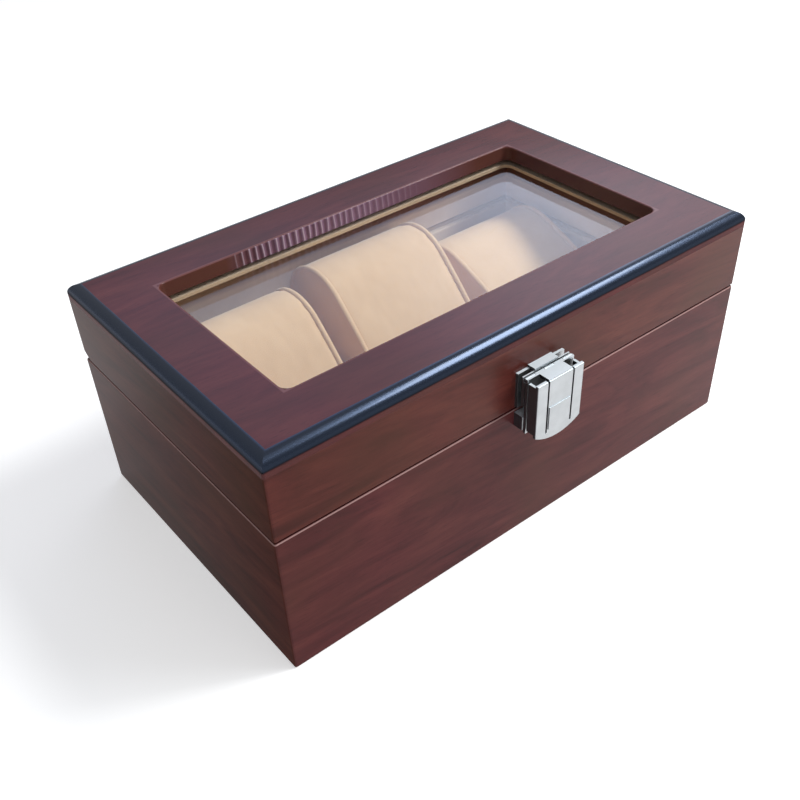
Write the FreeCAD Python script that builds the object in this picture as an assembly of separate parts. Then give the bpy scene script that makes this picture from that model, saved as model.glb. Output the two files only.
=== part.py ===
import FreeCAD, Part
import math
import os

from FreeCAD import Vector

# All sizes in mm. +X runs along the long side, +Y to the back, +Z up.
# The origin is the middle of the underside.

# Box
length = 200.0
width = 119.0
height = 84.0
base_height = 54.4
seam_gap = 0.4
wall = 10.0
corner_ease = 0.8
edge_ease = 0.75

# Lid panel, window and glazing
panel_t = 5.5
edge_round = 4.2
window_border = 22.0
window_corner = 3.2
window_ease = 0.6
bead_t = 1.2
bead_reveal = 0.1
bead_inset = 0.5
glass_t = 2.0
glass_play = 0.3
bevel_depth = 5.0
bevel_rise = 3.5

# Bottom, linings and dividers
bottom_t = 5.0
floor_pad_t = 3.0
liner_t = 2.0
liner_round = 0.8
base_liner_drop = 1.6
lid_liner_lift = 0.8
divider_t = 3.0
divider_height = 36.0
divider_round = 1.2

# Pillows: an oval section that leans back, longer than it is thick.
# The belly or the back of the room stops the flattest lean and the glazing bead's height the steepest;
# each pillow leans by its share of the way from one to the other. It stands at its share of the way back
# that this lean leaves, and off the middle of its bay by its share of the side gap.
pillow_names = ("left", "middle", "right")
pillow_lean_shares = (0.9507, 0.9507, 0.4425)
pillow_back_shares = (0.294, 0.89, 0)
pillow_side_shares = (-0.44, -0.15, -0.7)
pillow_reach_share = 0.7894
pillow_end_radius = 18.6
pillow_belly = 0.8
pillow_swell = 0.4
pillow_draw = 1.4
pillow_crown_power = 8
pillow_station_shares = (-1, -0.92, -0.8, -0.6, -0.3, 0, 0.3, 0.6, 0.8, 0.92, 1)
pillow_floor_gap = 0.3
pillow_top_gap = 0.5
pillow_front_gap = 17.6
pillow_back_gap = 1.0
pillow_side_gap = 3.8

# Rear hinges
hinge_from_end = 40.0
hinge_width = 20.0
hinge_inset = 2.4
hinge_rise = 2.8
leaf_t = 0.8
leaf_start = 1.3
lid_leaf_start = 0.7
lid_leaf_back = 2.8
knuckle_radius = 1.4
mid_knuckle = 6.6
knuckle_gap = 0.2
pin_radius = 0.7
pin_play = 0.05
swing_play = 0.2
web_width = 1.4

# Hinge screws
screw_from_end = 3.5
screw_head_radius = 1.3
screw_radius = 0.65
screw_head_depth = 0.65
screw_length = 7.0
leaf_screw_in = 2.6
lid_leaf_screw_in = 2.0

# Latch
latch_width = 20.0
bracket_rise = 13.8
bracket_lift = 0.8
bracket_t = 1.0
tab_width = 10.0
tab_t = 1.4
tab_step = 0.8
front_leaf_t = 1.2
front_leaf_out = 3.9
front_leaf_drop = 11.0
latch_gap = 0.3
flap_t = 1.0
flap_drop = 7.0
face_out = 9.7
face_t = 1.2
face_inset = 0.1
face_top_drop = 0.4
face_drop = 6.8
face_sag = 3.0
face_ease = 0.4
hood_t = 1.2
tongue_width = 10.0
slot_width = 0.7
slot_drop = 6.4
flange_t = 0.9
flange_gap = 0.4
flange_top_drop = 1.2
flange_foot = 1.0
pad_width = 9.2
pad_top_rise = 3.2
pad_drop = 5.4
pad_t = 0.3
catch_drop = 1.0
catch_height = 5.2
catch_ease = 0.4
latch_pin_radius = 0.35
latch_knuckle_radius = 0.75
latch_knuckles = 5
latch_knuckle_gap = 0.15
latch_relief = 0.12

# How far a cut runs past what it cuts
overrun = 1.0
tiny = 1e-6

half_length = length / 2
half_width = width / 2
lid_z = base_height + seam_gap
panel_z = height - panel_t
glass_z = panel_z - glass_t
bead_z = glass_z - bead_t
room_x = half_length - wall
room_y = half_width - wall
lined_x = room_x - liner_t
lined_y = room_y - liner_t
bays = len(pillow_names)
bay_width = (2 * lined_x - (bays - 1) * divider_t) / bays
pillow_length = bay_width - 2 * pillow_side_gap
floor_z = bottom_t + floor_pad_t
pivot_y = half_width - hinge_inset
pivot_z = base_height + hinge_rise
front_y = -half_width


def block(x0, x1, y0, y1, z0, z1):
    return Part.makeBox(x1 - x0, y1 - y0, z1 - z0, Vector(x0, y0, z0))


def rod_x(x0, x1, y, z, radius):
    return Part.makeCylinder(radius, x1 - x0, Vector(x0, y, z), Vector(1, 0, 0))


def prism_x(points, x0, x1):
    corners = [Vector(x0, y, z) for y, z in points]
    face = Part.Face(Part.makePolygon(corners + corners[:1]))
    return face.extrude(Vector(x1 - x0, 0, 0))


def prism_z(points, z0, z1):
    corners = [Vector(x, y, z0) for x, y in points]
    face = Part.Face(Part.makePolygon(corners + corners[:1]))
    return face.extrude(Vector(0, 0, z1 - z0))


def upright_edges(shape):
    return [e for e in shape.Edges if e.BoundBox.ZLength > tiny]


def level_edges(shape, z):
    box = [(e, e.BoundBox) for e in shape.Edges]
    return [e for e, b in box if abs(b.ZMin - z) < tiny and abs(b.ZMax - z) < tiny]


def rounded_plate(half_x, half_y, radius, z0, z1):
    plate = block(-half_x, half_x, -half_y, half_y, z0, z1)
    return plate.makeFillet(radius, upright_edges(plate))


def eased_block(z0, z1, eased_levels):
    solid = rounded_plate(half_length, half_width, corner_ease, z0, z1)
    for z in eased_levels:
        solid = solid.makeFillet(edge_ease, level_edges(solid, z))
    return solid


def sector(side, z0, z1):
    out_x = half_length + overrun
    out_y = half_width + overrun
    in_x = room_x - overrun
    in_y = room_y - overrun
    outer = {"front": ((-out_x, -out_y), (out_x, -out_y)), "back": ((out_x, out_y), (-out_x, out_y)),
             "left": ((-out_x, out_y), (-out_x, -out_y)), "right": ((out_x, -out_y), (out_x, out_y))}
    inner = {"front": ((in_x, -in_y), (-in_x, -in_y)), "back": ((-in_x, in_y), (in_x, in_y)),
             "left": ((-in_x, -in_y), (-in_x, in_y)), "right": ((in_x, in_y), (in_x, -in_y))}
    return prism_z(outer[side] + inner[side], z0 - overrun, z1 + overrun)


def hinge_centres():
    return (hinge_from_end - half_length, half_length - hinge_from_end)


def screw_places():
    out = hinge_width / 2 - screw_from_end
    return [xc + s * out for xc in hinge_centres() for s in (-1, 1)]


def screw(x, y, z, up):
    # head face at z, the shank running up (1) or down (-1) from it
    axis = Vector(0, 0, up)
    head = Part.makeCone(screw_head_radius, screw_radius, screw_head_depth, Vector(x, y, z), axis)
    shank = Part.makeCylinder(screw_radius, screw_length, Vector(x, y, z), axis)
    return head.fuse(shank).removeSplitter()


def base_screws():
    y = room_y + leaf_start + leaf_screw_in
    return [screw(x, y, base_height, -1) for x in screw_places()]


def lid_screws():
    y = room_y + lid_leaf_start + lid_leaf_screw_in
    return [screw(x, y, lid_z, 1) for x in screw_places()]


def base_leaf_plate(xc):
    half = hinge_width / 2
    y1 = pivot_y + knuckle_radius
    return block(xc - half, xc + half, room_y + leaf_start, y1, base_height - leaf_t, base_height)


def outer_knuckle_spans(xc):
    far = hinge_width / 2
    near = mid_knuckle / 2 + knuckle_gap
    return ((xc - far, xc - near), (xc + near, xc + far))


def base_leaf(xc):
    leaf = base_leaf_plate(xc)
    half = hinge_width / 2
    for x0, x1 in outer_knuckle_spans(xc):
        foot = block(x0, x1, pivot_y - knuckle_radius, pivot_y + knuckle_radius, base_height - leaf_t, pivot_z)
        leaf = leaf.fuse(foot).fuse(rod_x(x0, x1, pivot_y, pivot_z, knuckle_radius))
    leaf = leaf.cut(rod_x(xc - half - overrun, xc + half + overrun, pivot_y, pivot_z, pin_radius))
    for s in base_screws():
        leaf = leaf.cut(s)
    return leaf.removeSplitter()


def lid_leaf_blank(xc):
    half = hinge_width / 2
    mid = mid_knuckle / 2
    y1 = pivot_y - lid_leaf_back
    plate = block(xc - half, xc + half, room_y + lid_leaf_start, y1, lid_z, lid_z + leaf_t)
    riser = block(xc - mid, xc + mid, y1 - web_width, y1, lid_z, pivot_z)
    arm = block(xc - mid, xc + mid, y1 - web_width, pivot_y, pivot_z - knuckle_radius, pivot_z)
    return plate.fuse(riser).fuse(arm).fuse(rod_x(xc - mid, xc + mid, pivot_y, pivot_z, knuckle_radius))


def lid_leaf(xc):
    half = hinge_width / 2
    bore = rod_x(xc - half - overrun, xc + half + overrun, pivot_y, pivot_z, pin_radius + pin_play)
    leaf = lid_leaf_blank(xc).cut(bore)
    for s in lid_screws():
        leaf = leaf.cut(s)
    return leaf.removeSplitter()


def hinge_pin(xc):
    half = hinge_width / 2
    return rod_x(xc - half, xc + half, pivot_y, pivot_z, pin_radius)


def hinge_notches(xc):
    # room in the lid for the base leaf's knuckles to stand while the lid swings round them
    reach = math.hypot(knuckle_radius, hinge_rise) + swing_play
    far = hinge_width / 2 + swing_play
    near = mid_knuckle / 2
    spans = ((xc - far, xc - near), (xc + near, xc + far))
    return [rod_x(x0, x1, pivot_y, pivot_z, reach) for x0, x1 in spans]


def base_walls():
    ring = eased_block(0, base_height, (0, base_height))
    ring = ring.cut(block(-room_x, room_x, -room_y, room_y, -overrun, base_height + overrun))
    for xc in hinge_centres():
        ring = ring.cut(base_leaf_plate(xc))
    for s in base_screws():
        ring = ring.cut(s)
    sides = ("front", "back", "left", "right")
    return {"base_%s_wall" % s: ring.common(sector(s, 0, base_height)) for s in sides}


def lid_walls():
    ring = eased_block(lid_z, panel_z, (lid_z,))
    ring = ring.cut(block(-room_x, room_x, -room_y, room_y, lid_z - overrun, panel_z + overrun))
    run = (half_width + overrun, lid_z + bevel_rise * (bevel_depth + overrun) / bevel_depth)
    wedge = ((half_width - bevel_depth, lid_z), run, (half_width + overrun, lid_z - overrun),
             (half_width - bevel_depth, lid_z - overrun))
    ring = ring.cut(prism_x(wedge, -half_length - overrun, half_length + overrun))
    half = hinge_width / 2
    mid = mid_knuckle / 2
    y0 = room_y + lid_leaf_start
    for xc in hinge_centres():
        ring = ring.cut(lid_leaf_blank(xc))
        ring = ring.cut(block(xc - half, xc + half, y0, pivot_y, lid_z - overrun, lid_z + leaf_t))
        ring = ring.cut(block(xc - mid, xc + mid, y0, pivot_y, lid_z - overrun, pivot_z - knuckle_radius))
        for notch in hinge_notches(xc):
            ring = ring.cut(notch)
    for s in lid_screws():
        ring = ring.cut(s)
    sides = ("front", "back", "left", "right")
    return {"lid_%s_wall" % s: ring.common(sector(s, lid_z, panel_z)) for s in sides}


def window_prism(grow, z0, z1):
    half_x = half_length - window_border + grow
    half_y = half_width - window_border + grow
    return rounded_plate(half_x, half_y, window_corner + grow, z0, z1)


def lid_top_panel():
    panel = block(-half_length, half_length, -half_width, half_width, panel_z, height)
    panel = panel.makeFillet(edge_round, level_edges(panel, height))
    panel = panel.common(rounded_plate(half_length, half_width, corner_ease, panel_z, height))
    panel = panel.cut(window_prism(0, panel_z - overrun, height + overrun))
    reach = half_length - window_border + tiny
    lip = [e for e in level_edges(panel, height) if max(abs(e.BoundBox.XMin), abs(e.BoundBox.XMax)) < reach]
    return panel.makeFillet(window_ease, lip)


def glass_pane():
    half_x = room_x - glass_play
    half_y = room_y - glass_play
    return block(-half_x, half_x, -half_y, half_y, glass_z, panel_z)


def glazing_bead():
    # the felt strip that holds the glass up against the top board
    half_x = room_x - bead_inset
    half_y = room_y - bead_inset
    bead = block(-half_x, half_x, -half_y, half_y, bead_z, glass_z)
    return bead.cut(window_prism(bead_reveal, bead_z - overrun, glass_z + overrun))


def long_liner(side, z0, z1, round_z):
    y0, y1 = (lined_y, room_y) if side > 0 else (-room_y, -lined_y)
    board = block(-room_x, room_x, y0, y1, z0, z1)
    return soften(board, round_z, "y", side * lined_y)


def short_liner(side, z0, z1, round_z):
    x0, x1 = (lined_x, room_x) if side > 0 else (-room_x, -lined_x)
    board = block(x0, x1, -lined_y, lined_y, z0, z1)
    return soften(board, round_z, "x", side * lined_x)


def soften(board, z, axis, place):
    # round the long inner edge of a lining board at height z
    edges = []
    for e in level_edges(board, z):
        b = e.BoundBox
        low, high = (b.YMin, b.YMax) if axis == "y" else (b.XMin, b.XMax)
        if abs(low - place) < tiny and abs(high - place) < tiny:
            edges.append(e)
    return board.makeFillet(liner_round, edges)


def divider(x):
    board = block(x - divider_t / 2, x + divider_t / 2, -lined_y, lined_y, floor_z, floor_z + divider_height)
    edges = [e for e in level_edges(board, floor_z + divider_height) if e.BoundBox.YLength > divider_t]
    return board.makeFillet(divider_round, edges)


def pillow_room():
    # how far the middle of the upper end can lie behind the lower one, and above it
    ends = 2 * (pillow_end_radius + pillow_swell)
    across = 2 * lined_y - pillow_front_gap - pillow_back_gap - ends
    up = bead_z - floor_z - pillow_floor_gap - pillow_top_gap - ends
    return across, up


def pillow_reach():
    # from the middle of the lower end to the middle of the upper end
    return pillow_reach_share * math.hypot(*pillow_room())


def belly_radius(r):
    # of the long arcs that join two ends of radius r
    offset = pillow_reach() / 2
    b = r + pillow_belly
    return (offset ** 2 + b ** 2 - r ** 2) / (2 * pillow_belly)


def pillow_lean(share):
    # flatter than the belly angle, a pillow would lie on its belly and not on its lower end
    across, up = pillow_room()
    r = pillow_end_radius + pillow_swell
    belly = math.atan2(pillow_reach() / 2, belly_radius(r) - r - pillow_belly)
    least = max(belly, math.acos(min(1, across / pillow_reach())))
    most = math.asin(min(1, up / pillow_reach()))
    return least + share * (most - least)


def pillow_section(x, grow, y, z, turn):
    # a four-arc oval, its lower end centred on (y, z), leaning back by the angle turn
    offset = pillow_reach() / 2
    r = pillow_end_radius + grow
    b = r + pillow_belly
    a = offset + r
    flat = belly_radius(r)
    rise = math.hypot(offset, flat - b)
    tu = offset + r * offset / rise
    tv = r * (flat - b) / rise

    def at(u, v):
        u = u + offset
        return Vector(x, y + u * math.cos(turn) - v * math.sin(turn), z + u * math.sin(turn) + v * math.cos(turn))

    def end_mid(sign_u, sign_v):
        half_angle = math.atan2(tv, tu - offset) / 2
        return at(sign_u * (offset + r * math.cos(half_angle)), sign_v * r * math.sin(half_angle))

    arcs = ((at(-tu, tv), at(0, b), at(tu, tv)),
            (at(tu, tv), end_mid(1, 1), at(a, 0)),
            (at(a, 0), end_mid(1, -1), at(tu, -tv)),
            (at(tu, -tv), at(0, -b), at(-tu, -tv)),
            (at(-tu, -tv), end_mid(-1, -1), at(-a, 0)),
            (at(-a, 0), end_mid(-1, 1), at(-tu, tv)))
    return Part.Wire([Part.Arc(*three).toShape() for three in arcs])


def pillow_seats():
    # the middle of each pillow's lower end, which it turns on
    r = pillow_end_radius + pillow_swell
    across, up = pillow_room()
    seats = []
    shares = zip(bay_centres(), pillow_side_shares, pillow_lean_shares, pillow_back_shares)
    for x, side, lean, back in shares:
        slack = across - pillow_reach() * math.cos(pillow_lean(lean))
        y = pillow_front_gap + r - lined_y + back * slack
        seats.append((x + side * pillow_side_gap, y, floor_z + pillow_floor_gap + r))
    return seats


def bay_centres():
    first = bay_width / 2 - lined_x
    return [first + i * (bay_width + divider_t) for i in range(bays)]


def pillow(x, y, z, turn):
    # fullest in the middle, drawn in at both ends
    half = pillow_length / 2
    wires = []
    for share in pillow_station_shares:
        grow = pillow_swell - (pillow_swell + pillow_draw) * share ** pillow_crown_power
        wires.append(pillow_section(x + share * half, grow, y, z, turn))
    return Part.makeLoft(wires, True, False)


def latch_axis():
    top = lid_z + bracket_rise
    return front_y - front_leaf_out - latch_gap / 2, top - latch_knuckle_radius


def knuckle_spans():
    step = latch_width / latch_knuckles
    gap = latch_knuckle_gap / 2
    starts = [-latch_width / 2 + i * step for i in range(latch_knuckles)]
    return [(x + gap, x + step - gap) for x in starts]


def latch_bracket():
    half = latch_width / 2
    tab = tab_width / 2
    top = lid_z + bracket_rise
    y_leaf = front_y - front_leaf_out
    axis_y, axis_z = latch_axis()
    plate = block(-half, half, front_y - bracket_t, front_y, lid_z + bracket_lift, top)
    y_arm = axis_y + latch_knuckle_radius + latch_relief
    arm = block(-tab, tab, y_arm, front_y, top + tab_step - tab_t, top + tab_step)
    leaf = block(-half, half, y_leaf, y_leaf + front_leaf_t, top - front_leaf_drop, top)
    reach = math.hypot(latch_knuckle_radius, latch_gap / 2) + latch_relief
    leaf = leaf.cut(rod_x(-half - overrun, half + overrun, axis_y, axis_z, reach))
    leaf = leaf.cut(block(-half - overrun, half + overrun, axis_y - overrun, axis_y + reach, axis_z, top + overrun))
    bracket = plate.fuse(arm).fuse(leaf)
    for x0, x1 in knuckle_spans()[0::2]:
        web = block(x0, x1, axis_y, y_leaf + front_leaf_t, axis_z - latch_knuckle_radius, axis_z)
        bracket = bracket.fuse(rod_x(x0, x1, axis_y, axis_z, latch_knuckle_radius)).fuse(web)
    bracket = bracket.cut(rod_x(-half - overrun, half + overrun, axis_y, axis_z, latch_pin_radius))
    return bracket.removeSplitter()


def face_plate():
    half = latch_width / 2 - face_inset
    y0 = front_y - face_out
    top = lid_z + bracket_rise - face_top_drop
    low = lid_z - face_drop
    corners = [Vector(half, y0, low), Vector(half, y0, top), Vector(-half, y0, top), Vector(-half, y0, low)]
    sides = [Part.LineSegment(p, q).toShape() for p, q in zip(corners, corners[1:])]
    arc = Part.Arc(corners[3], Vector(0, y0, low - face_sag), corners[0]).toShape()
    plate = Part.Face(Part.Wire(sides + [arc])).extrude(Vector(0, face_t, 0))
    front = [e for e in plate.Edges if abs(e.BoundBox.YMin - y0) < tiny and abs(e.BoundBox.YMax - y0) < tiny]
    return plate.makeFillet(face_ease, front)


def slots():
    y0 = front_y - face_out - overrun
    low = lid_z - slot_drop
    top = lid_z + bracket_rise + overrun
    cuts = []
    for s in (-1, 1):
        x = s * (tongue_width + slot_width) / 2
        y1 = front_y - face_out + face_t + overrun
        cuts.append(block(x - slot_width / 2, x + slot_width / 2, y0, y1, low, top))
        cuts.append(Part.makeCylinder(slot_width / 2, y1 - y0, Vector(x, y0, low), Vector(0, 1, 0)))
    return cuts


def latch_flap():
    half = latch_width / 2
    tongue = tongue_width / 2
    top = lid_z + bracket_rise
    y_back = front_y - front_leaf_out - latch_gap
    y_in = front_y - face_out + face_t
    axis_y, axis_z = latch_axis()
    plate = block(-half, half, y_back - flap_t, y_back, lid_z - flap_drop, top)
    for x0, x1 in knuckle_spans()[1::2]:
        web = block(x0, x1, y_back - flap_t, axis_y, axis_z - latch_knuckle_radius, axis_z)
        plate = plate.fuse(rod_x(x0, x1, axis_y, axis_z, latch_knuckle_radius)).fuse(web)
    face = face_plate()
    for cut in slots():
        face = face.cut(cut)
    y_face = front_y - face_out
    hood = block(-tongue, tongue, y_face + face_ease, y_back - flap_t / 2, top - hood_t, top)
    flap = plate.fuse(face).fuse(hood)
    clear = latch_knuckle_radius + latch_relief
    for x0, x1 in knuckle_spans()[0::2]:
        flap = flap.cut(rod_x(x0 - latch_knuckle_gap, x1 + latch_knuckle_gap, axis_y, axis_z, clear))
    flap = flap.cut(rod_x(-half - overrun, half + overrun, axis_y, axis_z, latch_pin_radius + pin_play))
    for s in (-1, 1):
        x0, x1 = sorted((s * (half - face_inset), s * (half - face_inset - flange_t)))
        z0 = lid_z - face_drop + flange_foot
        flap = flap.fuse(block(x0, x1, y_in - face_t / 2, y_back - flap_t - flange_gap, z0, top - flange_top_drop))
    pad = pad_width / 2
    flap = flap.fuse(block(-pad, pad, y_face - pad_t, y_face + face_t / 2, lid_z - pad_drop, lid_z + pad_top_rise))
    return flap.removeSplitter()


def latch_pin():
    half = latch_width / 2
    axis_y, axis_z = latch_axis()
    return rod_x(-half, half, axis_y, axis_z, latch_pin_radius)


def latch_catch():
    half = latch_width / 2
    top = base_height - catch_drop
    y0 = front_y - front_leaf_out
    body = block(-half, half, y0, front_y, top - catch_height, top)
    rim = [e for e in body.Edges if abs(e.BoundBox.YMin - y0) < tiny and abs(e.BoundBox.YMax - y0) < tiny]
    return body.makeFillet(catch_ease, rim)


def build():
    parts = {}
    parts.update(base_walls())
    parts["base_bottom_panel"] = block(-room_x, room_x, -room_y, room_y, 0, bottom_t)
    parts["floor_pad"] = block(-room_x, room_x, -room_y, room_y, bottom_t, floor_z)
    liner_top = base_height - base_liner_drop
    parts["base_front_liner"] = long_liner(-1, floor_z, liner_top, liner_top)
    parts["base_back_liner"] = long_liner(1, floor_z, liner_top, liner_top)
    parts["base_left_liner"] = short_liner(-1, floor_z, liner_top, liner_top)
    parts["base_right_liner"] = short_liner(1, floor_z, liner_top, liner_top)
    to_divider = (bay_width + divider_t) / 2
    parts["left_divider"] = divider(-to_divider)
    parts["right_divider"] = divider(to_divider)
    for name, seat, share in zip(pillow_names, pillow_seats(), pillow_lean_shares):
        parts["%s_pillow" % name] = pillow(*seat, pillow_lean(share))
    parts.update(lid_walls())
    parts["lid_top_panel"] = lid_top_panel()
    parts["glass_pane"] = glass_pane()
    parts["glazing_bead"] = glazing_bead()
    liner_low = lid_z + lid_liner_lift
    parts["lid_front_liner"] = long_liner(-1, liner_low, bead_z, liner_low)
    parts["lid_back_liner"] = long_liner(1, liner_low, bead_z, liner_low)
    parts["lid_left_liner"] = short_liner(-1, liner_low, bead_z, liner_low)
    parts["lid_right_liner"] = short_liner(1, liner_low, bead_z, liner_low)
    for name, xc in zip(("left", "right"), hinge_centres()):
        parts["%s_hinge_base_leaf" % name] = base_leaf(xc)
        parts["%s_hinge_lid_leaf" % name] = lid_leaf(xc)
        parts["%s_hinge_pin" % name] = hinge_pin(xc)
    parts["hinge_base_screws"] = Part.makeCompound(base_screws())
    parts["hinge_lid_screws"] = Part.makeCompound(lid_screws())
    parts["latch_bracket"] = latch_bracket()
    parts["latch_flap"] = latch_flap()
    parts["latch_pin"] = latch_pin()
    parts["latch_catch"] = latch_catch()
    return parts


os.makedirs("parts", exist_ok=True)
for node, shape in build().items():
    shape.exportStep("parts/%s.step" % node)
    print(node, len(shape.Solids), "solid", shape.isValid(), round(shape.Volume))
print("pillow seats", [[round(v, 3) for v in seat] for seat in pillow_seats()], "reach", round(pillow_reach(), 4))
print("pillow leans", [round(math.degrees(pillow_lean(share)), 2) for share in pillow_lean_shares])
print("bay centres", [round(v, 3) for v in bay_centres()])
print("latch axis", [round(v, 3) for v in latch_axis()], "hinge axis", round(pivot_y, 3), round(pivot_z, 3))
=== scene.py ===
import math

import bmesh
import bpy
import numpy as np
from mathutils import Matrix, Vector


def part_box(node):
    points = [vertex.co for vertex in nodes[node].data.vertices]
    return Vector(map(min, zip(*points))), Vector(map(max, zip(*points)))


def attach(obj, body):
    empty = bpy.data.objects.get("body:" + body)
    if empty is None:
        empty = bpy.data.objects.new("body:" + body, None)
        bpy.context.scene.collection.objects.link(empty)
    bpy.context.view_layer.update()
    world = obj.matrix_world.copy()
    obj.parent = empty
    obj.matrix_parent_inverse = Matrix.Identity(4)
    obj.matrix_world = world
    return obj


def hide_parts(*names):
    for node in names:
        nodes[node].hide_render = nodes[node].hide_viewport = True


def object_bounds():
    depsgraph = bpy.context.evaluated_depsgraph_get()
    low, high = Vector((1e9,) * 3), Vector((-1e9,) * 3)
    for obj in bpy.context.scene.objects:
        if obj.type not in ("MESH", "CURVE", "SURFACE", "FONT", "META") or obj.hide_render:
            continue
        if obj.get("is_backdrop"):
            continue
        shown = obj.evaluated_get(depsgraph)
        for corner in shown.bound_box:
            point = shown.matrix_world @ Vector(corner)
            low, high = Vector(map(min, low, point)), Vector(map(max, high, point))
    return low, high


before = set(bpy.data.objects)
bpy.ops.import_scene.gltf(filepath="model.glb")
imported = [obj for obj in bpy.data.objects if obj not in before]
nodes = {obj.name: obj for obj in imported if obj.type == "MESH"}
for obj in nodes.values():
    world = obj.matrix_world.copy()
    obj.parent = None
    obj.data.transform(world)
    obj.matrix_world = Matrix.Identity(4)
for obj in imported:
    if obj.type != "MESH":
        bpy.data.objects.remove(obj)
cad_low, cad_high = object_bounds()
scene = bpy.context.scene
MM = 0.001
HALF_LENGTH, HALF_WIDTH = cad_high.x / MM, cad_high.y / MM  # mm from the middle to the right and to the back


# ---- node trees

class Graph:
    """A node tree with short calls for the nodes used here."""

    def __init__(self, tree):
        self.tree = tree

    def node(self, kind, **settings):
        made = self.tree.nodes.new("ShaderNode" + kind)
        for key, value in settings.items():
            setattr(made, key, value)
        return made

    def put(self, socket, value):
        """Link a socket to an input, or set the input to a plain value."""
        if isinstance(value, bpy.types.NodeSocket):
            self.tree.links.new(value, socket)
        elif value is not None:
            socket.default_value = value

    def place(self, offset=(0, 0, 0)):
        """Object coordinates in millimetres, moved by offset."""
        made = self.node("VectorMath", operation="MULTIPLY_ADD")
        self.put(made.inputs[0], self.node("TexCoord").outputs["Object"])
        made.inputs[1].default_value = (1 / MM,) * 3
        made.inputs[2].default_value = offset
        return made.outputs[0]

    def facing(self):
        """The x, y and z parts of the surface normal, in the object's own axes, so they hold in every pose."""
        return self.split(self.node("TexCoord").outputs["Normal"])

    def stretch(self, vector, factors):
        made = self.node("VectorMath", operation="MULTIPLY")
        self.put(made.inputs[0], vector)
        made.inputs[1].default_value = factors
        return made.outputs[0]

    def split(self, vector):
        made = self.node("SeparateXYZ")
        self.put(made.inputs[0], vector)
        return made.outputs

    def math(self, operation, a, b=None, c=None):
        made = self.node("Math", operation=operation)
        for socket, value in zip(made.inputs, (a, b, c)):
            self.put(socket, value)
        return made.outputs[0]

    def times(self, product, *others):
        for other in others:
            product = self.math("MULTIPLY", product, other)
        return product

    def noise(self, vector, scale=1.0, detail=4.0, roughness=0.5, distortion=0.0):
        made = self.node("TexNoise")
        self.put(made.inputs["Vector"], vector)
        made.inputs["Scale"].default_value = scale
        made.inputs["Detail"].default_value = detail
        made.inputs["Roughness"].default_value = roughness
        made.inputs["Distortion"].default_value = distortion
        return made.outputs["Fac"]

    def span(self, value, low, high, to_low=0.0, to_high=1.0, easing="LINEAR"):
        """A value that goes from to_low to to_high as the given one goes from low to high."""
        made = self.node("MapRange", interpolation_type=easing)
        self.put(made.inputs["Value"], value)
        limits = zip(("From Min", "From Max", "To Min", "To Max"), (low, high, to_low, to_high))
        for key, number in limits:
            made.inputs[key].default_value = number
        return made.outputs["Result"]

    def band(self, value, start, full, fade, end):
        """1 between full and fade, falling to 0 at start and at end."""
        return self.times(self.span(value, start, full), self.span(value, fade, end, 1.0, 0.0))

    def ramp(self, value, stops):
        made = self.node("ValToRGB")
        self.put(made.inputs[0], value)
        elements = made.color_ramp.elements
        while len(elements) < len(stops):
            elements.new(0.5)
        for element, (position, colour) in zip(elements, stops):
            element.position = position
            element.color = (*colour, 1)
        return made.outputs["Color"]

    def mix(self, factor, a, b, blend="MIX"):
        """Colour a, and colour b where the factor is 1."""
        made = self.node("Mix", data_type="RGBA", blend_type=blend)
        self.put(made.inputs["Factor"], factor)
        for socket, value in ((made.inputs[6], a), (made.inputs[7], b)):
            self.put(socket, (*value, 1) if isinstance(value, tuple) else value)
        return made.outputs[2]

    def blend(self, factor, a, b):
        """Number a, and number b where the factor is 1."""
        made = self.node("Mix", data_type="FLOAT")
        self.put(made.inputs[0], factor)
        self.put(made.inputs[2], a)
        self.put(made.inputs[3], b)
        return made.outputs[0]

    def bump(self, height, distance, strength, normal=None):
        made = self.node("Bump")
        made.inputs["Strength"].default_value = strength
        made.inputs["Distance"].default_value = distance
        self.put(made.inputs["Height"], height)
        self.put(made.inputs["Normal"], normal)
        return made.outputs[0]


class Finish(Graph):
    """A material and its node tree."""

    def __init__(self, name):
        self.material = bpy.data.materials.new(name)
        self.material.use_nodes = True
        super().__init__(self.material.node_tree)
        self.tree.nodes.clear()
        self.out = self.node("OutputMaterial")

    def principled(self, **inputs):
        """The surface; an underscore in a key stands for a space in the input's name."""
        made = self.node("BsdfPrincipled")
        for key, value in inputs.items():
            self.put(made.inputs[key.replace("_", " ")], value)
        self.put(self.out.inputs[0], made.outputs[0])


# ---- wood; lengths are in mm, and the relief of bumps in metres

WOOD_DARK = (0.046, 0.0092, 0.0090)
WOOD_MID = (0.084, 0.0172, 0.0158)
WOOD_LIGHT = (0.120, 0.0285, 0.0225)
WOOD_BROWN = (0.072, 0.0240, 0.0135)
PORE = (0.022, 0.0050, 0.0050)
GRAIN_TILT = {"X": (0, -0.09, 0.04), "Y": (0.05, 0, 0.04)}  # radians that the grain strays from its axis
FIGURE, STREAK, LINE = (62, 12), (40, 2.0), (9, 0.45)  # length and width of the marks in the wood
STREAK_SHARE = 0.28
TONE_SPREAD = 0.16
GRAIN_RELIEF, GRAIN_STRENGTH = 0.00002, 0.4
LACQUER_IOR = 1.5


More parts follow.
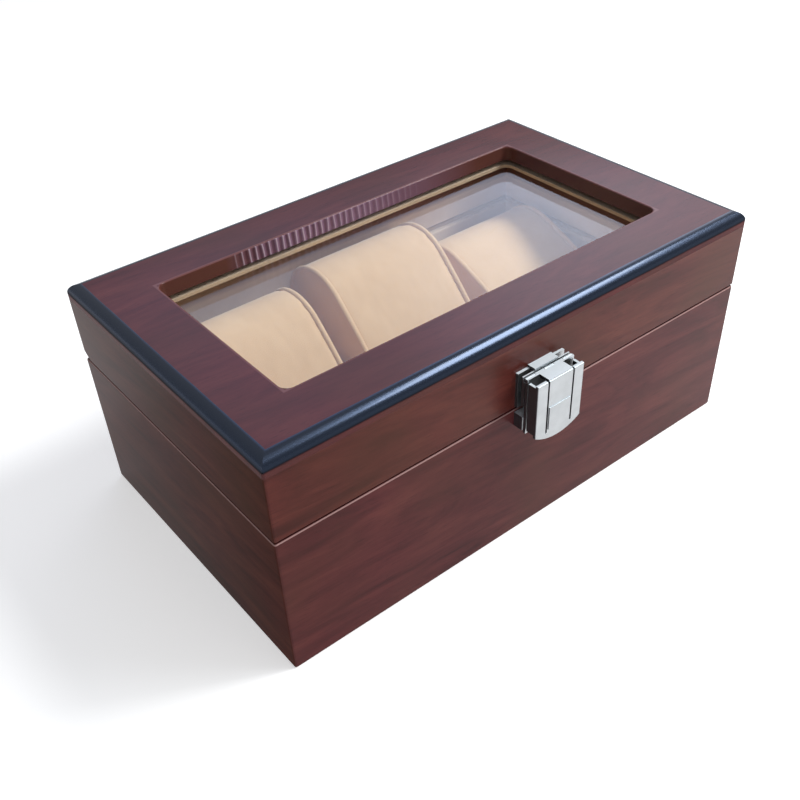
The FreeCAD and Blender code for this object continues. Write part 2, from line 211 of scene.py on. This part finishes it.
def wood_colour(g, grain, offset, tone, calm=1.0):
    """Place, colour and height of a fine, nearly straight veneer whose grain runs along the X or the Y axis."""
    tilt = g.node("VectorRotate", rotation_type="EULER_XYZ")
    g.put(tilt.inputs["Vector"], g.place(offset))
    tilt.inputs["Rotation"].default_value = GRAIN_TILT[grain]
    place = tilt.outputs[0]

    def field(length, across):
        run, side = (1 / length, 1 / across) if grain == "X" else (1 / across, 1 / length)
        return g.stretch(place, (run, side, 1 / across))

    def tinted(colour):
        return tuple(c * t for c, t in zip(colour, tone))

    figure = g.noise(field(*FIGURE), detail=5, roughness=0.58, distortion=1.4)
    streak = g.noise(field(*STREAK), detail=5, roughness=0.65, distortion=0.3)
    line = g.noise(field(*LINE), detail=3, roughness=0.6)
    spread = TONE_SPREAD * calm
    colour = g.ramp(g.blend(STREAK_SHARE, figure, streak),
                    ((0.5 - spread, tinted(WOOD_DARK)), (0.5, tinted(WOOD_MID)),
                     (0.5 + spread, tinted(WOOD_LIGHT))))
    colour = g.mix(g.span(line, 0.58, 0.72, 0.0, 0.5), colour, tinted(PORE))
    cloud = g.noise(place, scale=0.022, detail=2)
    colour = g.mix(g.span(cloud, 0.38, 0.66, 0.0, 0.5), colour, tinted(WOOD_BROWN))
    height = g.math("SUBTRACT", g.times(streak, 0.4), g.times(line, 0.6))
    return place, colour, height


WALL_DEPTH = 9.8  # deeper than this below the outer sides, a wall shows its bare inner face
BARE_FACE = (0.60, 0.45, 0.33)
# painted highlight: a lighter pink where the base walls' eased upper edge catches the lamps
EDGE_PAINTED_HIGHLIGHT = (0.40, 0.25, 0.235)
EASED_SLOPE = (0.15, 0.45, 0.70, 0.85)  # upward part of the normal on an eased upper edge
HIGHLIGHT_FADE, HIGHLIGHT_SHARE = 0.15, 0.75


def veneer(name, grain, offset, tone, coat, rim=None):
    """Lacquered veneer, whose gloss goes from the first to the second number of coat along its grain. Rim is
    the height from which the eased upper edge gets a painted highlight, lighter where it looks up."""
    g = Finish(name)
    place, colour, height = wood_colour(g, grain, offset, tone)
    x, y, z = g.split(g.place())
    inside = g.times(g.math("LESS_THAN", g.math("ABSOLUTE", x), HALF_LENGTH - WALL_DEPTH),
                     g.math("LESS_THAN", g.math("ABSOLUTE", y), HALF_WIDTH - WALL_DEPTH))
    colour = g.mix(inside, colour, BARE_FACE)
    if rim:
        # painted highlight on the upward-facing part of the eased upper edge
        painted_highlight = g.times(g.band(g.facing()[2], *EASED_SLOPE), g.span(z, rim, rim + HIGHLIGHT_FADE, 0.0, HIGHLIGHT_SHARE))
        colour = g.mix(painted_highlight, colour, EDGE_PAINTED_HIGHLIGHT)
    smear = g.noise(place, scale=0.05, detail=3)
    run, end = (x, HALF_LENGTH) if grain == "X" else (y, HALF_WIDTH)
    g.principled(Base_Color=colour, Roughness=g.span(smear, 0.3, 0.7, 0.34, 0.46), IOR=LACQUER_IOR,
                 Specular_IOR_Level=0.0, Coat_Weight=g.span(run, -end, end, *coat), Coat_Roughness=0.30,
                 Normal=g.bump(height, GRAIN_RELIEF, GRAIN_STRENGTH))
    return g.material


EDGE_WIDTH = (4.25, 4.45)  # the black edge ends this far in from the board's sides
EDGE_FOOT = (80.3, 80.9)  # and begins at this height
EDGE_BLACK, EDGE_SHEEN = (0.0035, 0.0045, 0.0070), (0.045, 0.060, 0.095)
CUT_INSET = (15, 16)  # steep faces further in than this are the window's cut edge
CUT_REAR = (30, 34)  # y beyond which the cut edge is the back one
CUT_COLOUR, CUT_REAR_COLOUR = (0.098, 0.0400, 0.0370), (0.100, 0.0360, 0.0280)
# painted reflection: a lilac sheen painted on the back cut edge between these x, for the light its lacquer
# mirrors
CUT_REFLECTION_X, CUT_PAINTED_REFLECTION = (-52, -30, 5, 62), (0.205, 0.118, 0.178)
MARKS_X, MARKS_RELIEF, MARKS_STRENGTH = (-50, -44, -22, 34), 0.00045, 0.8
MARK_PITCH = 2.3  # radians of tool mark for each mm along the edge
# painted shade in the tool marks' troughs and a painted highlight on their crests
MARK_PAINTED_SHADE, MARK_PAINTED_HIGHLIGHT = (0.055, 0.016, 0.018), (0.46, 0.35, 0.42)
# painted highlight along the window's upper edge, where its lacquer catches the light
LIP_INSET, LIP_PAINTED_HIGHLIGHT = (21.0, 21.4, 22.0, 22.3), (0.19, 0.085, 0.085)  # the window's upper edge


def tool_marks(g, x, y, z):
    """0 to 1 across the upright, slightly uneven marks that a cutter leaves on the window's back edge."""
    along = g.node("CombineXYZ")
    g.put(along.inputs[0], g.times(g.math("ADD", x, y), 0.10))
    g.put(along.inputs[2], g.times(z, 0.04))
    sway = g.noise(along.outputs[0], detail=2, roughness=0.55)
    phase = g.math("MULTIPLY_ADD", sway, 6.0, g.math("MULTIPLY_ADD", x, MARK_PITCH, g.times(z, 0.1)))
    return g.math("MULTIPLY_ADD", g.math("SINE", phase), 0.5, 0.5)


def panel_veneer(name):
    """The lid's top board: veneer, a black lacquered rounded edge and a redder cut edge round the window, with
    a painted reflection, painted highlights and painted shade on the back cut edge and a painted highlight
    along the window's lip.
    """
    g = Finish(name)
    place, colour, height = wood_colour(g, "X", (31, 7, 4), (0.96, 0.96, 1.12), 1.4)
    x, y, z = g.split(g.place())
    flat = g.facing()[2]
    half_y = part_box("lid_top_panel")[1].y / MM
    inset = g.math("MINIMUM", g.math("SUBTRACT", HALF_LENGTH, g.math("ABSOLUTE", x)),
                   g.math("SUBTRACT", half_y, g.math("ABSOLUTE", y)))

    waver = g.noise(place, scale=0.09, detail=2)
    near = g.span(g.math("MULTIPLY_ADD", waver, 0.35, inset), *EDGE_WIDTH, 1.0, 0.0)
    high = g.span(g.math("MULTIPLY_ADD", waver, 0.3, z), *EDGE_FOOT)
    black = g.times(near, high)
    upper = g.times(black, g.span(flat, 0.20, 0.55))

    inner = g.times(g.span(inset, *CUT_INSET), g.span(flat, 0.55, 0.85, 1.0, 0.0))
    rear = g.span(y, *CUT_REAR)
    marks = g.times(rear, g.band(x, *MARKS_X))
    chatter = tool_marks(g, x, y, z)
    cut = g.mix(rear, CUT_COLOUR, CUT_REAR_COLOUR)
    # painted reflection on the back cut edge
    cut = g.mix(g.times(rear, g.band(x, *CUT_REFLECTION_X)), cut, CUT_PAINTED_REFLECTION)
    # painted shade and painted highlight along the tool marks, on top of their relief
    cut = g.mix(g.times(marks, g.span(chatter, 0.55, 0.15, 0.0, 0.55)), cut, MARK_PAINTED_SHADE)
    cut = g.mix(g.times(marks, g.span(chatter, 0.84, 0.99, 0.0, 0.85)), cut, MARK_PAINTED_HIGHLIGHT)

    # painted highlight on the window's lip
    lip_highlight = g.times(g.band(inset, *LIP_INSET), g.span(flat, 0.35, 0.6, 0.0, 0.6))
    for share, paint in ((inner, cut), (lip_highlight, LIP_PAINTED_HIGHLIGHT), (black, EDGE_BLACK), (upper, EDGE_SHEEN)):
        colour = g.mix(share, colour, paint)
    rough = g.blend(black, g.blend(inner, 0.40, 0.22), 0.26)
    coat = g.blend(black, g.span(flat, 0.30, 0.90, 0.30, 0.70), g.span(flat, 0.55, 0.95, 0.04, 0.70))
    waves = g.bump(g.times(chatter, inner, marks), MARKS_RELIEF, MARKS_STRENGTH)
    fine = g.bump(g.times(height, g.math("SUBTRACT", 1.0, black)), GRAIN_RELIEF, GRAIN_STRENGTH, waves)
    g.principled(Base_Color=colour, Roughness=rough, Metallic=upper, IOR=LACQUER_IOR, Specular_IOR_Level=0.0,
                 Coat_Weight=coat, Coat_Roughness=0.14, Normal=fine)
    return g.material


# ---- cloth, glass, metal and board

# painted shade: the lid's lining is darkened under the board's overhang, next to the glass
PAINTED_SHADE_Z = (64.5, 66.5)  # heights in mm over which the lid's lining darkens towards the glass
PAINTED_SHADE_X = (-70, 40)  # mm over which it grows from half to full, left to right
SHEEN_TINT = (1.0, 0.93, 0.85, 1)
PILE_RELIEF = 0.00018


def velvet(name, low, high, shade, glued=None, painted_shade=None):
    """Short-pile cloth: mottled nap, a soft sheen and a fine fuzz. Glued colours the faces that look up, and
    the last colour is painted shade that darkens the lid's lining next to the glass, more to the right."""
    g = Finish(name)
    place = g.place()
    nap = g.noise(g.stretch(place, (0.055, 0.035, 0.035)), detail=3, roughness=0.55, distortion=0.8)
    brush = g.noise(g.stretch(place, (0.30, 0.12, 0.12)), detail=3, roughness=0.6)
    fuzz = g.noise(place, scale=4.0, detail=3, roughness=0.7)
    colour = g.ramp(g.blend(0.4, nap, brush), ((0.34, low), (0.66, high)))
    colour = g.mix(g.span(fuzz, 0.35, 0.65, 0.22, 0.0), colour, shade)
    if glued:
        colour = g.mix(g.span(g.facing()[2], 0.4, 0.7), colour, glued)
    if painted_shade:
        # painted shade towards the glass, stronger to the right
        x, _, z = g.split(place)
        colour = g.mix(g.times(g.span(z, *PAINTED_SHADE_Z), g.span(x, *PAINTED_SHADE_X, 0.5, 1.0)), colour, painted_shade)
    g.principled(Base_Color=colour, Roughness=0.92, Specular_IOR_Level=0.2, Sheen_Weight=0.45,
                 Sheen_Roughness=0.45, Sheen_Tint=SHEEN_TINT, Normal=g.bump(fuzz, PILE_RELIEF, 0.6))
    return g.material


def glass(name):
    """A clear pane that mirrors more at a grazing angle and doesn't bend light."""
    g = Finish(name)
    clear = g.node("BsdfTransparent")
    clear.inputs["Color"].default_value = (0.965, 0.985, 0.985, 1)
    gloss = g.node("BsdfGlossy")
    gloss.inputs["Color"].default_value = (0.95, 0.97, 1.0, 1)
    gloss.inputs["Roughness"].default_value = 0.015
    weight = g.node("LayerWeight")
    weight.inputs["Blend"].default_value = 0.5
    fresnel = g.math("MULTIPLY_ADD", g.math("POWER", weight.outputs["Facing"], 5.0), 0.96, 0.04)
    pane = g.node("MixShader")
    for socket, value in zip(pane.inputs, (fresnel, clear.outputs[0], gloss.outputs[0])):
        g.put(socket, value)
    g.put(g.out.inputs[0], pane.outputs[0])
    return g.material


def plated(name, tint, rough, stroke, top=None, side=None):
    """Plated metal with faint polishing strokes. Top is a painted highlight, a light tint on the faces that
    look up, which are also satin; side is painted shade on the faces along X."""
    g = Finish(name)
    place = g.place()
    lines = g.noise(g.stretch(place, stroke), detail=4, roughness=0.6)
    cloud = g.noise(place, scale=0.25, detail=2)
    shade = g.mix(g.span(cloud, 0.3, 0.7), tint, tuple(c * 0.90 for c in tint))
    along, _, upward = g.facing()
    metal = 1.0
    # painted highlight on the faces that look up
    if top:
        shade = g.mix(g.span(upward, 0.5, 0.8), shade, top)
        metal = g.span(upward, 0.5, 0.8, 1.0, 0.30)
    # painted shade on the faces along X
    if side:
        shade = g.mix(g.span(g.math("ABSOLUTE", along), 0.6, 0.9), shade, side)
    g.principled(Base_Color=shade, Metallic=metal, Roughness=g.span(lines, 0.3, 0.7, *rough),
                 Normal=g.bump(lines, 0.00002, 0.25))
    return g.material


def board(name, low, high):
    """Flecked, matt board."""
    g = Finish(name)
    place = g.place()
    fleck = g.noise(place, scale=0.9, detail=5, roughness=0.7)
    cloud = g.noise(place, scale=0.03, detail=2)
    colour = g.ramp(g.blend(0.5, fleck, cloud), ((0.35, low), (0.65, high)))
    g.principled(Base_Color=colour, Roughness=0.78, Normal=g.bump(fleck, 0.0001, 0.4))
    return g.material


# ---- the finish of each node

BASE_RIM = 53.75  # height in mm at which the base walls' eased upper edge begins
LINING = ((0.80, 0.620, 0.475), (0.88, 0.700, 0.550), (0.62, 0.46, 0.34))
PILLOW = ((0.75, 0.478, 0.266), (0.845, 0.563, 0.333), (0.588, 0.352, 0.180))
BEAD = ((0.66, 0.49, 0.35), (0.74, 0.56, 0.41), (0.52, 0.37, 0.25))

MAT = {
    "lid_long": veneer("veneer_lid_long", "X", (0, 0, 0), (0.98, 1.00, 0.90), (0.22, 0.52)),
    "base_long": veneer("veneer_base_long", "X", (83, 19, 57), (0.91, 0.90, 1.05), (0.22, 0.48), BASE_RIM),
    "lid_short": veneer("veneer_lid_short", "Y", (11, 40, 23), (0.70, 0.84, 0.66), (0.09, 0.46)),
    "base_short": veneer("veneer_base_short", "Y", (47, 5, 71), (0.67, 0.78, 0.66), (0.09, 0.42), BASE_RIM),
    "panel": panel_veneer("veneer_panel"),
    "lining": velvet("velvet_lining", *LINING),
    # the lid's lining carries painted shade next to the glass
    "lid_lining": velvet("velvet_lid_lining", *LINING, painted_shade=(0.20, 0.105, 0.080)),
    "pillow": velvet("velvet_pillow", *PILLOW),
    "bead": velvet("felt_bead", *BEAD, glued=(0.62, 0.46, 0.33)),
    "glass": glass("pane_glass"),
    # the latch's top carries a painted highlight and its sides painted shade
    "latch": plated("latch_plate", (0.47, 0.485, 0.495), (0.34, 0.44), (0.6, 0.6, 6.0),
                    top=(0.78, 0.86, 0.91), side=(0.13, 0.13, 0.14)),
    "hinge": plated("hinge_plate", (0.62, 0.61, 0.59), (0.24, 0.38), (0.5, 5.0, 5.0)),
    "bottom": board("bottom_board", (0.020, 0.010, 0.008), (0.034, 0.018, 0.013)),
}
FINISHES = {
    "lid_top_panel": "panel",
    "glass_pane": "glass",
    "glazing_bead": "bead",
    "base_bottom_panel": "bottom",
}


def finish_of(name):
    """The key in MAT of a node's finish."""
    if name in FINISHES:
        return FINISHES[name]
    if name.endswith("_wall"):
        half, side, _ = name.split("_")
        return half + ("_long" if side in ("front", "back") else "_short")
    if name.startswith("latch"):
        return "latch"
    if "hinge" in name:
        return "hinge"
    return "lid_lining" if name.startswith("lid_") else "lining"


for name, obj in nodes.items():
    obj.data.materials.clear()
    obj.data.materials.append(MAT[finish_of(name)])


# ---- mesh helpers

def link(name, data):
    obj = bpy.data.objects.new(name, data)
    scene.collection.objects.link(obj)
    return obj


def smooth(mesh):
    mesh.polygons.foreach_set("use_smooth", [True] * len(mesh.polygons))


def join_rings(bm, rings):
    """Faces between each ring of points and the next."""
    for a, b in zip(rings, rings[1:]):
        for i in range(len(a)):
            j = (i + 1) % len(a)
            bm.faces.new((a[i], a[j], b[j], b[i]))


def closed_form(name, bm):
    """An object with the faces of bm, turned outward."""
    bmesh.ops.recalc_face_normals(bm, faces=bm.faces)
    mesh = bpy.data.meshes.new(name)
    bm.to_mesh(mesh)
    bm.free()
    return link(name, mesh)


# ---- watch pillows; lengths are in metres

END_RADIUS = 0.0186
BELLY = 0.0008  # by which the long sides bulge
REACH = 0.03775  # between the middles of the two rounded ends
SEAT_Z = 0.0273
# the y of each pillow's seat, and its lean in degrees
STANDS = {"left": (-0.0072, 46.85), "middle": (0.0003, 46.85), "right": (-0.0109, 24.4)}
ROUND_POINTS = 96
BLANK_RINGS = (-1, -0.97, -0.9, -0.75, -0.5, -0.25, 0, 0.25, 0.5, 0.75, 0.9, 0.97, 1)
BLANK_INSET, BLANK_PINCH, BLANK_END_INSET = 0.0003, 0.0002, 0.0004
VOXEL = 0.0024
SEAM_WIDTH, SEAM_FADE = 0.0060, 0.0035  # next to the ends, where the cover is held
FILL_FRAMES = 20
FILL_LIMIT = 0.0006  # the furthest that the cover is pushed out
CORD_RADIUS = 0.0010
CORD_SIDES = 12


def oval(grow, stand, count=ROUND_POINTS):
    """Points (y, z) round the section of a pillow with its seat's y and its lean, evenly spaced."""
    seat_y, lean = stand
    r = END_RADIUS + grow
    half = REACH / 2
    b = r + BELLY
    flat = (half ** 2 + b ** 2 - r ** 2) / (2 * BELLY)
    tilt = math.atan2(flat - b, half)
    arcs = ((0.0, 0.0, r, math.pi - tilt, math.pi + tilt),
            (half, flat - b, flat, math.pi + tilt, 2 * math.pi - tilt),
            (REACH, 0.0, r, -tilt, tilt),
            (half, b - flat, flat, tilt, math.pi - tilt))
    lengths = [abs(a1 - a0) * radius for _, _, radius, a0, a1 in arcs]
    total = sum(lengths)
    turn = math.radians(lean)
    points = []
    for i in range(count):
        s = total * i / count
        for (cu, cv, radius, a0, a1), span in zip(arcs, lengths):
            if s <= span:
                break
            s -= span
        angle = a0 + (a1 - a0) * s / span
        u = cu + radius * math.cos(angle)
        v = cv + radius * math.sin(angle)
        points.append((seat_y + u * math.cos(turn) - v * math.sin(turn),
                       SEAT_Z + u * math.sin(turn) + v * math.cos(turn)))
    return points


def pillow_blank(name, x0, x1, stand):
    """A closed form a little smaller than the finished pillow, for the cloth to fill."""
    mid, half = (x0 + x1) / 2, (x1 - x0) / 2
    bm = bmesh.new()
    rings = []
    for share in BLANK_RINGS:
        grow = -BLANK_INSET - BLANK_PINCH * abs(share) ** 8
        x = mid + share * (half - BLANK_END_INSET)
        rings.append([bm.verts.new((x, y, z)) for y, z in oval(grow, stand)])
    join_rings(bm, rings)
    bm.faces.new(rings[0])
    bm.faces.new(list(reversed(rings[-1])))
    return closed_form(name, bm)


def settle(obj):
    """Apply every modifier on obj."""
    graph = bpy.context.evaluated_depsgraph_get()
    mesh = bpy.data.meshes.new_from_object(obj.evaluated_get(graph))
    obj.modifiers.clear()
    old = obj.data
    obj.data = mesh
    bpy.data.meshes.remove(old)


def points_of(mesh):
    flat = np.zeros(len(mesh.vertices) * 3)
    mesh.vertices.foreach_get("co", flat)
    return flat.reshape(-1, 3)


def puff(obj, x0, x1):
    """Fill the blank like a stuffed cloth cover; its end seams are held."""
    remesh = obj.modifiers.new("remesh", "REMESH")
    remesh.mode = "VOXEL"
    remesh.voxel_size = VOXEL
    settle(obj)
    start = points_of(obj.data)
    held = obj.vertex_groups.new(name="seam")
    for i, (x, _, _) in enumerate(start):
        gap = min(x - x0, x1 - x)
        held.add([i], max(0.0, min(1.0, (SEAM_WIDTH - gap) / SEAM_FADE)), "REPLACE")
    cloth = obj.modifiers.new("cloth", "CLOTH")
    cloth.settings.quality = 6
    cloth.settings.mass = 0.15
    cloth.settings.tension_stiffness = 12
    cloth.settings.compression_stiffness = 12
    cloth.settings.bending_stiffness = 0.6
    cloth.settings.use_pressure = True
    cloth.settings.uniform_pressure_force = 4.0
    cloth.settings.vertex_group_mass = "seam"
    cloth.settings.effector_weights.gravity = 0.0
    cloth.collision_settings.use_collision = False
    for number in range(1, FILL_FRAMES + 1):
        scene.frame_set(number)
    settle(obj)
    scene.frame_set(1)
    move = points_of(obj.data) - start
    size = np.linalg.norm(move, axis=1, keepdims=True)
    move *= np.minimum(1.0, FILL_LIMIT / np.maximum(size, 1e-9))
    obj.data.vertices.foreach_set("co", (start + move).ravel())
    obj.vertex_groups.clear()


def piping(name, x, stand):
    """The corded seam round a pillow's end."""
    loop = oval(-CORD_RADIUS, stand, 2 * ROUND_POINTS)
    across = Vector((1, 0, 0))
    bm = bmesh.new()
    rings = []
    for i, (y, z) in enumerate(loop):
        ahead, behind = loop[(i + 1) % len(loop)], loop[i - 1]
        along = Vector((0, ahead[0] - behind[0], ahead[1] - behind[1])).normalized()
        outward = across.cross(along)
        ring = []
        for k in range(CORD_SIDES):
            angle = 2 * math.pi * k / CORD_SIDES
            offset = across * math.cos(angle) + outward * math.sin(angle)
            ring.append(bm.verts.new(Vector((x, y, z)) + offset * CORD_RADIUS))
        rings.append(ring)
    join_rings(bm, rings + rings[:1])
    obj = closed_form(name, bm)
    smooth(obj.data)
    return obj


for side, stand in STANDS.items():
    node = side + "_pillow"
    body = node + "_body"
    low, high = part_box(node)
    cushion = pillow_blank(side + "_cushion", low.x, high.x, stand)
    puff(cushion, low.x, high.x)
    smooth(cushion.data)
    cushion.data.materials.append(MAT["pillow"])
    rounder = cushion.modifiers.new("round", "SUBSURF")
    rounder.levels = rounder.render_levels = 2
    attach(cushion, body)
    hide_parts(node)
    for end, x in (("left", low.x + CORD_RADIUS), ("right", high.x - CORD_RADIUS)):
        cord = piping("%s_cushion_%s_piping" % (side, end), x, stand)
        cord.data.materials.append(MAT["pillow"])
        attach(cord, body)


# ---- floor pad of the bays; lengths are in metres

PAD_EDGE = (0.95, 0.975, 0.99, 0.997, 1)  # shares of the half size at which the grid closes up
PAD_STEPS = [-a for a in reversed(PAD_EDGE)] + [i / 24 for i in range(-22, 23)] + list(PAD_EDGE)
ROLL_WIDTH, ROLL_DROP, ROLL_LIFT = 0.0030, 0.0011, 0.0004
RIPPLE, RIPPLE_INSET = 0.00012, 0.00028
RIPPLE_FADE = 0.012


def pad_cover(name, low, high):
    """A thin cloth-covered pad: softly rolled edges and a quilted, slightly uneven top."""
    bm = bmesh.new()
    size, mid = (high - low) / 2, (high + low) / 2
    top, under = [], []
    for a in PAD_STEPS:
        top.append([])
        under.append([])
        for b in PAD_STEPS:
            x, y = mid.x + a * size.x, mid.y + b * size.y
            edge = min((1 - abs(a)) * size.x, (1 - abs(b)) * size.y)
            roll = max(0.0, 1 - edge / ROLL_WIDTH) ** 2.5
            ripple = RIPPLE * (math.sin(310 * x + 90 * y) + math.sin(230 * y - 120 * x + 1.3))
            fade = min(1.0, edge / RIPPLE_FADE)
            z = high.z - RIPPLE_INSET * fade - ROLL_DROP * roll + ripple * fade
            top[-1].append(bm.verts.new((x, y, z)))
            under[-1].append(bm.verts.new((x, y, low.z + ROLL_LIFT * roll)))
    last = len(PAD_STEPS) - 1
    for i in range(last):
        for j in range(last):
            bm.faces.new((top[i][j], top[i + 1][j], top[i + 1][j + 1], top[i][j + 1]))
            bm.faces.new((under[i][j], under[i][j + 1], under[i + 1][j + 1], under[i + 1][j]))
    for k in range(last):
        bm.faces.new((top[k][0], under[k][0], under[k + 1][0], top[k + 1][0]))
        bm.faces.new((top[k][last], top[k + 1][last], under[k + 1][last], under[k][last]))
        bm.faces.new((top[0][k], top[0][k + 1], under[0][k + 1], under[0][k]))
        bm.faces.new((top[last][k], under[last][k], under[last][k + 1], top[last][k + 1]))
    obj = closed_form(name, bm)
    smooth(obj.data)
    return obj


pad = pad_cover("floor_pad_cover", *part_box("floor_pad"))
pad.data.materials.append(MAT["lining"])
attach(pad, "base")
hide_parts("floor_pad")


# ---- floor, light and camera

FLOOR_DROP = 0.0001  # metres below the box, so that the two don't share a face
FLOOR_LOW, FLOOR_HIGH, FLOOR_GLOW = (0.75,) * 3, (0.77,) * 3, 0.48
AIM = (0, 0, 0.05)  # where the lamps point unless they say otherwise
PHOTO_SIDE = 800  # pixels
SENSOR = 36  # mm


def floor():
    """White paper that glows a little, for the photograph's white ground."""
    g = Finish("floor_paper")
    tone = g.noise(g.place(), scale=0.02, detail=2)
    g.principled(Base_Color=g.ramp(tone, ((0.3, FLOOR_LOW), (0.7, FLOOR_HIGH))), Roughness=0.9,
                 Emission_Color=(1, 1, 1, 1), Emission_Strength=FLOOR_GLOW)
    bm = bmesh.new()
    bmesh.ops.create_grid(bm, x_segments=4, y_segments=4, size=4.0)
    mesh = bpy.data.meshes.new("floor")
    bm.to_mesh(mesh)
    bm.free()
    mesh.materials.append(g.material)
    made = link("floor", mesh)
    made.location.z = -FLOOR_DROP
    made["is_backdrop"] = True


def lamp(name, toward, distance, size, power, colour, mirrored=True, aim=AIM):
    """A rectangular lamp at a distance from its aim; mirrored says whether glossy faces show it."""
    light = bpy.data.lights.new(name, "AREA")
    light.shape = "RECTANGLE"
    light.size, light.size_y = size
    light.energy = power
    light.color = colour
    obj = link(name, light)
    way = Vector(toward).normalized()
    obj.location = Vector(aim) + way * distance
    obj.rotation_euler = (-way).to_track_quat("-Z", "Y").to_euler()
    obj.visible_glossy = mirrored


def sky():
    """An even surround with a wide bluish glow behind and a bright patch behind on the right, both above the
    horizon."""
    world = bpy.data.worlds.new("studio")
    scene.world = world
    world.use_nodes = True
    g = Graph(world.node_tree)
    ways = g.node("TexCoord").outputs["Generated"]

    def near(way, low, high):
        """0 to 1 as the cosine of the angle to a direction goes from low to high."""
        made = g.node("VectorMath", operation="DOT_PRODUCT")
        g.put(made.inputs[0], ways)
        made.inputs[1].default_value = Vector(way).normalized()
        return g.span(made.outputs["Value"], low, high, easing="SMOOTHSTEP")

    above = near((0.1, -0.1, 1.0), 0.396, 0.426)
    colour = (0.36, 0.365, 0.38)
    for way, low, light in (((0.50, 0.69, 0.52), 0.90, (0.40, 0.54, 0.92)),
                            ((0.76, 0.46, 0.47), 0.93, (1.45, 1.45, 1.60))):
        colour = g.mix(g.times(near(way, low, 1.0), above), colour, light, "ADD")
    g.put(g.tree.nodes["Background"].inputs["Color"], colour)


def camera():
    """Where the photograph was taken from, found from the box's corners in it."""
    azimuth, elevation, roll = (math.radians(a) for a in (-36.687, 40.121, -3.113))
    target = Vector((-20.754, -11.213, 16.757)) * MM
    distance = 357.63 * MM
    focal, centre_x, centre_y = (pixels / PHOTO_SIDE for pixels in (983.05, 396.47, 441.42))
    back = Vector((math.cos(elevation) * math.sin(azimuth), -math.cos(elevation) * math.cos(azimuth),
                   math.sin(elevation)))
    right = Vector((0, 0, 1)).cross(back).normalized()
    up = back.cross(right)
    c, s = math.cos(roll), math.sin(roll)
    right, up = c * right + s * up, c * up - s * right
    data = bpy.data.cameras.new("camera")
    data.sensor_width = SENSOR
    data.lens = SENSOR * focal
    data.shift_x, data.shift_y = 0.5 - centre_x, centre_y - 0.5
    data.clip_start, data.clip_end = 0.01, 20
    obj = link("camera", data)
    turn = Matrix((right, up, back)).transposed().to_4x4()
    obj.matrix_world = Matrix.Translation(target + back * distance) @ turn
    scene.camera = obj


floor()
sky()
lamp("key", (0.560, -0.300, 0.772), 0.9, (0.22, 0.22), 4.0, (1.0, 0.99, 0.97), mirrored=False)
lamp("overhead", (0.60, 0, 0.80), 1.1, (0.64, 0.36), 7.7, (0.92, 0.97, 1.0), aim=(0, -0.46, 0.05))
lamp("fill", (0.20, -0.80, 0.55), 1.5, (1.2, 0.8), 3.0, (1.0, 0.98, 0.95), mirrored=False)
camera()
scene.view_settings.view_transform = "Standard"

low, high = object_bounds()
